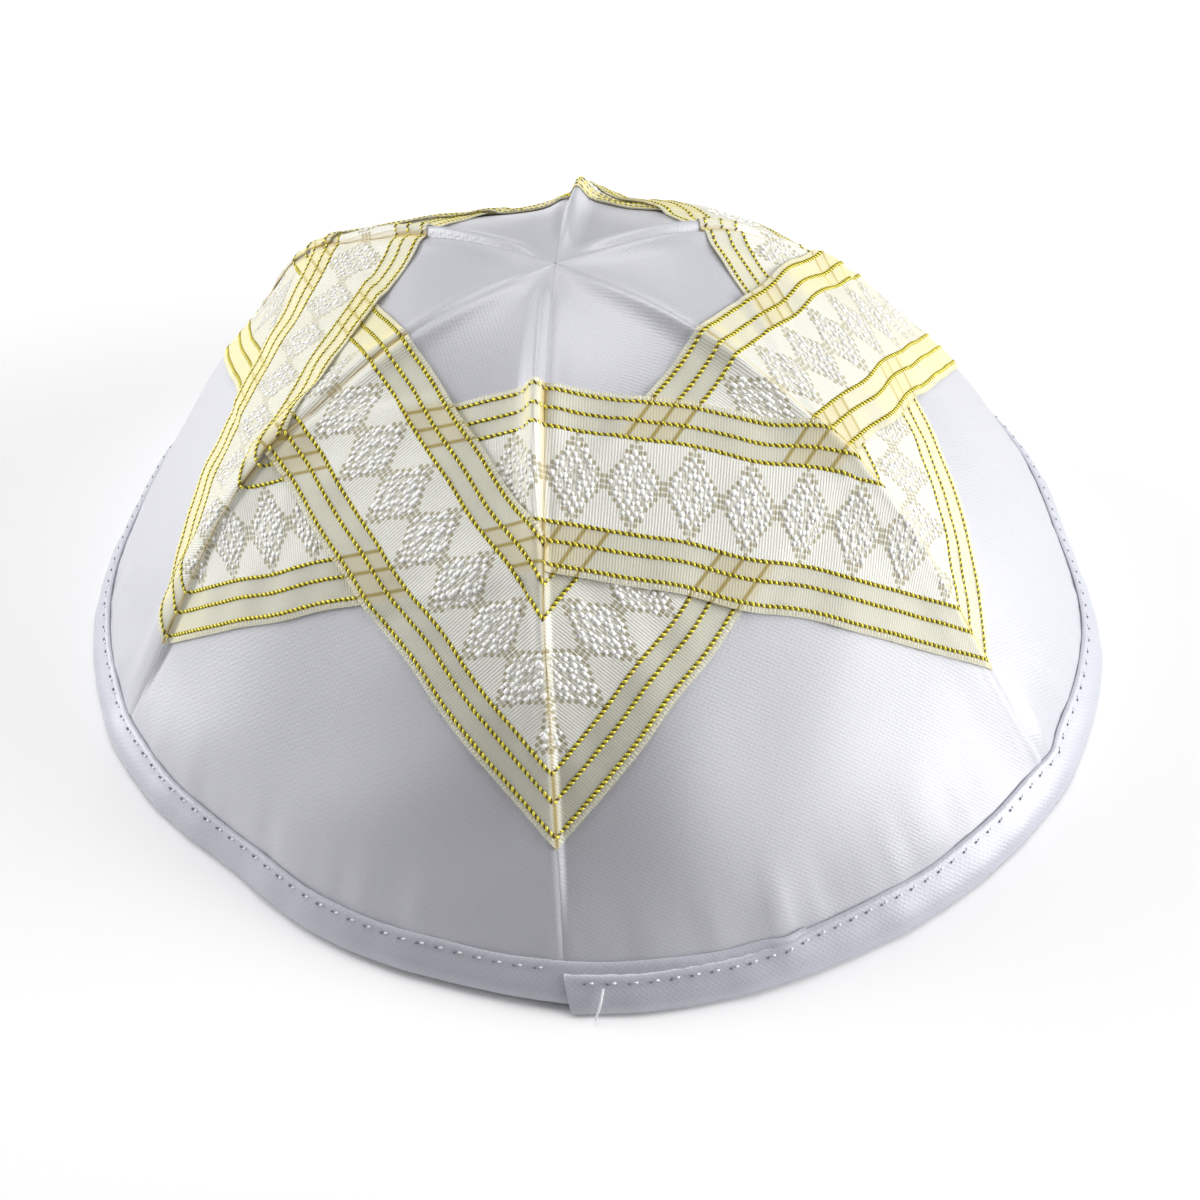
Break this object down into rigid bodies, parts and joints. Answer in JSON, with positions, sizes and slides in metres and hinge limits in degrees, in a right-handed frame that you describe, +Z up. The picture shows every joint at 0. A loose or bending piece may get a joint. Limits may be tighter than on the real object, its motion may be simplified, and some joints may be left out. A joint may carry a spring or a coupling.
{
  "type": "kippah",
  "caption": "Domed white satin skullcap of sewn panels with an interlaced six-pointed star of gold-striped brocade ribbon and a folded binding around its open rim.",
  "frame": {"origin": "centre of the open rim, on the surface it rests on", "axes": "+Z up through the crown, -Y towards the front seam, +X to the cap's right as seen from the front"},
  "size_m": [0.1824, 0.1836, 0.0703],
  "materials": {
    "satin": "white satin with a fine diagonal twill",
    "brocade": "semi-sheer ivory ribbon with white floats and gold thread lines",
    "binding": "white satin bias strip, stitched"
  },
  "bodies": {
    "root": {"panel_front_right": "satin", "panel_right": "satin", "panel_back_right": "satin", "panel_back_left": "satin", "panel_left": "satin", "panel_front_left": "satin", "ribbon_under_front_right": "brocade", "ribbon_under_right": "brocade", "ribbon_under_back_right": "brocade", "ribbon_under_back_left": "brocade", "ribbon_under_left": "brocade", "ribbon_under_front_left": "brocade", "ribbon_over_front_right": "brocade", "ribbon_over_right": "brocade", "ribbon_over_back_right": "brocade", "ribbon_over_back_left": "brocade", "ribbon_over_left": "brocade", "ribbon_over_front_left": "brocade", "rim_binding": "binding"}
  },
  "joints": []
}
